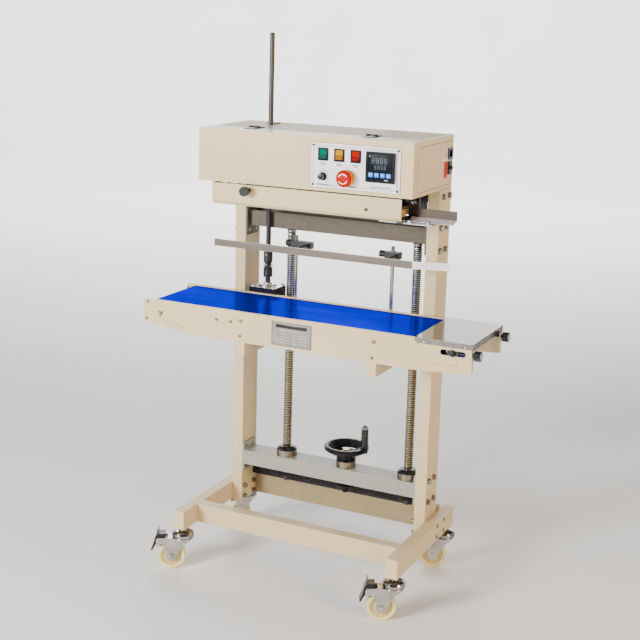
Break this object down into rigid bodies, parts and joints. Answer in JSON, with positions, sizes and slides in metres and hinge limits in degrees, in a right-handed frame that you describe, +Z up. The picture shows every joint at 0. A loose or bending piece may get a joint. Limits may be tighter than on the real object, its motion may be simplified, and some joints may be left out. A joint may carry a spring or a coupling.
{
  "type": "continuous band sealer",
  "caption": "Floor-standing continuous band sealer: sealing head on two uprights over a belt conveyor raised and lowered by a handwheel and lead screws, on braked castors",
  "frame": {"origin": "on the floor, midway between the two side frames and 66.5 mm in front of the uprights' front faces", "axes": "+X to the machine's right as seen from the front, +Y to the back, +Z up"},
  "size_m": [0.909, 0.4284, 1.4],
  "materials": {
    "cream_paint": "gloss powder coat",
    "panel_white": "satin",
    "stainless": "brushed",
    "machined_steel": "turned",
    "zinc_bolts": "zinc plated",
    "chrome_plate": "polished",
    "black_oxide": "satin",
    "black_plastic": "satin",
    "black_gloss": "gloss",
    "red_plastic": "gloss",
    "green_plastic": "gloss",
    "yellow_plastic": "gloss",
    "belt_blue": "satin PVC",
    "nylon_wheel": "moulded nylon",
    "seal_band": "coated glass cloth",
    "chain_black": "oiled",
    "alloy": "satin"
  },
  "bodies": {
    "frame": {"base_rails": "cream_paint", "cross_rails": "cream_paint", "uprights": "cream_paint", "cross_beams": "cream_paint", "frame_fasteners": "zinc_bolts", "bearing_collars": "machined_steel", "castor_cups": "chrome_plate", "chain_and_guard": "chain_black", "head_housing": "cream_paint", "lid_hinges": "black_oxide", "front_guard": "cream_paint", "control_panel": "panel_white", "panel_fittings": "black_plastic", "power_inlet": "black_plastic", "sealing_frame": "alloy", "seal_bands": "seal_band", "drive_motor": "black_oxide", "infeed_guide": "stainless"},
    "carriage": {"conveyor_side_panels": "cream_paint", "conveyor_trim": "stainless", "conveyor_bed": "stainless", "conveyor_belt": "belt_blue", "infeed_tray": "stainless", "lift_arms": "cream_paint", "gearbox": "black_oxide", "guide_posts": "stainless"},
    "guide": {"guide_bar": "stainless"},
    "lid": {"head_lid": "cream_paint"},
    "drive_shaft": {"drive_shaft": "black_oxide"},
    "left_roller": {"left_roller": "machined_steel"},
    "drive_roller": {"drive_roller": "machined_steel"},
    "tail_roller": {"tail_roller": "machined_steel"},
    "lead_screw_left": {"lead_screw_left": "machined_steel"},
    "lead_screw_right": {"lead_screw_right": "machined_steel"},
    "handwheel": {"handwheel": "black_gloss"},
    "handwheel_handle": {"handwheel_handle": "black_plastic"},
    "rocker_green": {"rocker_green": "green_plastic"},
    "rocker_yellow": {"rocker_yellow": "yellow_plastic"},
    "rocker_red": {"rocker_red": "red_plastic"},
    "speed_knob": {"speed_knob": "black_plastic"},
    "estop_button": {"estop_button": "red_plastic"},
    "guard_knob": {"guard_knob": "black_plastic"},
    "tension_knob_front": {"tension_knob_front": "black_plastic"},
    "tension_knob_rear": {"tension_knob_rear": "black_plastic"},
    "clamp_knob_left": {"clamp_knob_left": "black_plastic"},
    "clamp_knob_right": {"clamp_knob_right": "black_plastic"},
    "seal_wheel_front_drive": {"seal_wheel_front_drive": "machined_steel"},
    "seal_wheel_front_idler": {"seal_wheel_front_idler": "machined_steel"},
    "seal_wheel_rear_drive": {"seal_wheel_rear_drive": "machined_steel"},
    "seal_wheel_rear_idler": {"seal_wheel_rear_idler": "machined_steel"},
    "brake_pedal_front_left": {"brake_pedal_front_left": "chrome_plate"},
    "brake_pedal_front_right": {"brake_pedal_front_right": "chrome_plate"},
    "castor_fork_front_left": {"castor_fork_front_left": "zinc_bolts"},
    "castor_wheel_front_left": {"castor_wheel_front_left": "nylon_wheel"},
    "castor_fork_front_right": {"castor_fork_front_right": "zinc_bolts"},
    "castor_wheel_front_right": {"castor_wheel_front_right": "nylon_wheel"},
    "castor_fork_rear_left": {"castor_fork_rear_left": "zinc_bolts"},
    "castor_wheel_rear_left": {"castor_wheel_rear_left": "nylon_wheel"},
    "castor_fork_rear_right": {"castor_fork_rear_right": "zinc_bolts"},
    "castor_wheel_rear_right": {"castor_wheel_rear_right": "nylon_wheel"}
  },
  "joints": [
    {"name": "conveyor_lift", "type": "slide", "parent": "frame", "child": "carriage", "axis": [0, 0, 1], "range_m": [-0.23, 0.06]},
    {"name": "lead_screw_left_turn", "type": "hinge", "parent": "frame", "child": "lead_screw_left", "pos_m": [-0.1335, 0.097, 0.5], "axis": [0, 0, 1], "continuous": true},
    {"name": "lead_screw_right_turn", "type": "hinge", "parent": "frame", "child": "lead_screw_right", "pos_m": [0.223, 0.097, 0.5], "axis": [0, 0, 1], "continuous": true},
    {"name": "handwheel_turn", "type": "hinge", "parent": "frame", "child": "handwheel", "pos_m": [0.04475, 0.097, 0.317], "axis": [0, 0, 1], "continuous": true},
    {"name": "handle_spin", "type": "hinge", "parent": "handwheel", "child": "handwheel_handle", "pos_m": [0.09675, 0.097, 0.35], "axis": [0, 0, 1], "continuous": true},
    {"name": "guide_depth", "type": "slide", "parent": "carriage", "child": "guide", "axis": [0, 1, 0], "range_m": [-0.012, 0.018]},
    {"name": "clamp_left_turn", "type": "hinge", "parent": "carriage", "child": "clamp_knob_left", "pos_m": [-0.11, 0.0503, 0.864], "axis": [1, 0, 0], "range_deg": [-180, 180]},
    {"name": "clamp_right_turn", "type": "hinge", "parent": "carriage", "child": "clamp_knob_right", "pos_m": [0.154, 0.0503, 0.864], "axis": [1, 0, 0], "range_deg": [-180, 180]},
    {"name": "drive_shaft_spin", "type": "hinge", "parent": "carriage", "child": "drive_shaft", "pos_m": [-0.19, 0.072, 0.8], "axis": [0, 0, 1], "continuous": true},
    {"name": "drive_roller_spin", "type": "hinge", "parent": "carriage", "child": "drive_roller", "pos_m": [-0.18, 0, 0.692], "axis": [0, 1, 0], "continuous": true},
    {"name": "left_roller_spin", "type": "hinge", "parent": "carriage", "child": "left_roller", "pos_m": [-0.385, 0, 0.693], "axis": [0, 1, 0], "continuous": true},
    {"name": "tail_roller_spin", "type": "hinge", "parent": "carriage", "child": "tail_roller", "pos_m": [0.425, 0, 0.6975], "axis": [0, 1, 0], "continuous": true},
    {"name": "tension_front_turn", "type": "hinge", "parent": "carriage", "child": "tension_knob_front", "pos_m": [0.48, -0.1723, 0.6975], "axis": [1, 0, 0], "continuous": true},
    {"name": "tension_rear_turn", "type": "hinge", "parent": "carriage", "child": "tension_knob_rear", "pos_m": [0.48, 0.0343, 0.6975], "axis": [1, 0, 0], "continuous": true},
    {"name": "seal_wheel_front_drive_spin", "type": "hinge", "parent": "frame", "child": "seal_wheel_front_drive", "pos_m": [-0.228, -0.0754, 0.994], "axis": [0, 0, 1], "continuous": true},
    {"name": "seal_wheel_front_idler_spin", "type": "hinge", "parent": "frame", "child": "seal_wheel_front_idler", "pos_m": [0.228, -0.0754, 0.994], "axis": [0, 0, 1], "continuous": true},
    {"name": "seal_wheel_rear_drive_spin", "type": "hinge", "parent": "frame", "child": "seal_wheel_rear_drive", "pos_m": [-0.228, -0.0246, 0.994], "axis": [0, 0, 1], "continuous": true},
    {"name": "seal_wheel_rear_idler_spin", "type": "hinge", "parent": "frame", "child": "seal_wheel_rear_idler", "pos_m": [0.228, -0.0246, 0.994], "axis": [0, 0, 1], "continuous": true},
    {"name": "lid_open", "type": "hinge", "parent": "frame", "child": "lid", "pos_m": [0, -0.042, 1.168], "axis": [1, 0, 0], "range_deg": [0, 95]},
    {"name": "rocker_green_tip", "type": "hinge", "parent": "frame", "child": "rocker_green", "pos_m": [0.051, -0.1065, 1.1225], "axis": [1, 0, 0], "range_deg": [0, 12]},
    {"name": "rocker_yellow_tip", "type": "hinge", "parent": "frame", "child": "rocker_yellow", "pos_m": [0.0935, -0.1065, 1.1225], "axis": [1, 0, 0], "range_deg": [0, 12]},
    {"name": "rocker_red_tip", "type": "hinge", "parent": "frame", "child": "rocker_red", "pos_m": [0.1365, -0.1065, 1.1225], "axis": [1, 0, 0], "range_deg": [0, 12]},
    {"name": "speed_turn", "type": "hinge", "parent": "frame", "child": "speed_knob", "pos_m": [0.051, -0.12, 1.069], "axis": [0, 1, 0], "range_deg": [-135, 135]},
    {"name": "estop_push", "type": "slide", "parent": "frame", "child": "estop_button", "axis": [0, 1, 0], "range_m": [0, 0.005]},
    {"name": "guard_knob_turn", "type": "hinge", "parent": "frame", "child": "guard_knob", "pos_m": [-0.153, -0.126, 1.0165], "axis": [0, 1, 0], "continuous": true},
    {"name": "castor_swivel_front_left", "type": "hinge", "parent": "frame", "child": "castor_fork_front_left", "pos_m": [-0.3015, -0.168, 0.09], "axis": [0, 0, 1], "continuous": true},
    {"name": "castor_roll_front_left", "type": "hinge", "parent": "castor_fork_front_left", "child": "castor_wheel_front_left", "pos_m": [-0.32756, -0.18071, 0.0375], "axis": [0.4384, -0.8988, 0], "continuous": true},
    {"name": "brake_front_left", "type": "hinge", "parent": "castor_fork_front_left", "child": "brake_pedal_front_left", "pos_m": [-0.35902, -0.19606, 0.079], "axis": [0.4384, -0.8988, 0], "range_deg": [-10, 3]},
    {"name": "castor_swivel_front_right", "type": "hinge", "parent": "frame", "child": "castor_fork_front_right", "pos_m": [0.3015, -0.168, 0.09], "axis": [0, 0, 1], "continuous": true},
    {"name": "castor_roll_front_right", "type": "hinge", "parent": "castor_fork_front_right", "child": "castor_wheel_front_right", "pos_m": [0.27543, -0.18071, 0.0375], "axis": [0.4384, -0.8988, 0], "continuous": true},
    {"name": "brake_front_right", "type": "hinge", "parent": "castor_fork_front_right", "child": "brake_pedal_front_right", "pos_m": [0.24398, -0.19606, 0.079], "axis": [0.4384, -0.8988, 0], "range_deg": [-10, 3]},
    {"name": "castor_swivel_rear_left", "type": "hinge", "parent": "frame", "child": "castor_fork_rear_left", "pos_m": [-0.3015, 0.182, 0.09], "axis": [0, 0, 1], "continuous": true},
    {"name": "castor_roll_rear_left", "type": "hinge", "parent": "castor_fork_rear_left", "child": "castor_wheel_rear_left", "pos_m": [-0.31687, 0.15741, 0.0375], "axis": [0.848, -0.5299, 0], "continuous": true},
    {"name": "castor_swivel_rear_right", "type": "hinge", "parent": "frame", "child": "castor_fork_rear_right", "pos_m": [0.3015, 0.182, 0.09], "axis": [0, 0, 1], "continuous": true},
    {"name": "castor_roll_rear_right", "type": "hinge", "parent": "castor_fork_rear_right", "child": "castor_wheel_rear_right", "pos_m": [0.27543, 0.16929, 0.0375], "axis": [0.4384, -0.8988, 0], "continuous": true}
  ],
  "couplings": [
    {"joint": "lead_screw_left_turn", "follows": "conveyor_lift", "rad_per_m": -1256.6},
    {"joint": "lead_screw_right_turn", "follows": "conveyor_lift", "rad_per_m": -1256.6},
    {"joint": "handwheel_turn", "follows": "conveyor_lift", "rad_per_m": -1256.6},
    {"joint": "drive_roller_spin", "follows": "drive_shaft_spin", "ratio": -0.5},
    {"joint": "left_roller_spin", "follows": "drive_shaft_spin", "ratio": -0.426},
    {"joint": "tail_roller_spin", "follows": "drive_shaft_spin", "ratio": -0.5195},
    {"joint": "seal_wheel_front_drive_spin", "follows": "drive_shaft_spin", "ratio": -0.45},
    {"joint": "seal_wheel_front_idler_spin", "follows": "drive_shaft_spin", "ratio": -0.45},
    {"joint": "seal_wheel_rear_drive_spin", "follows": "drive_shaft_spin", "ratio": 0.45},
    {"joint": "seal_wheel_rear_idler_spin", "follows": "drive_shaft_spin", "ratio": 0.45}
  ]
}
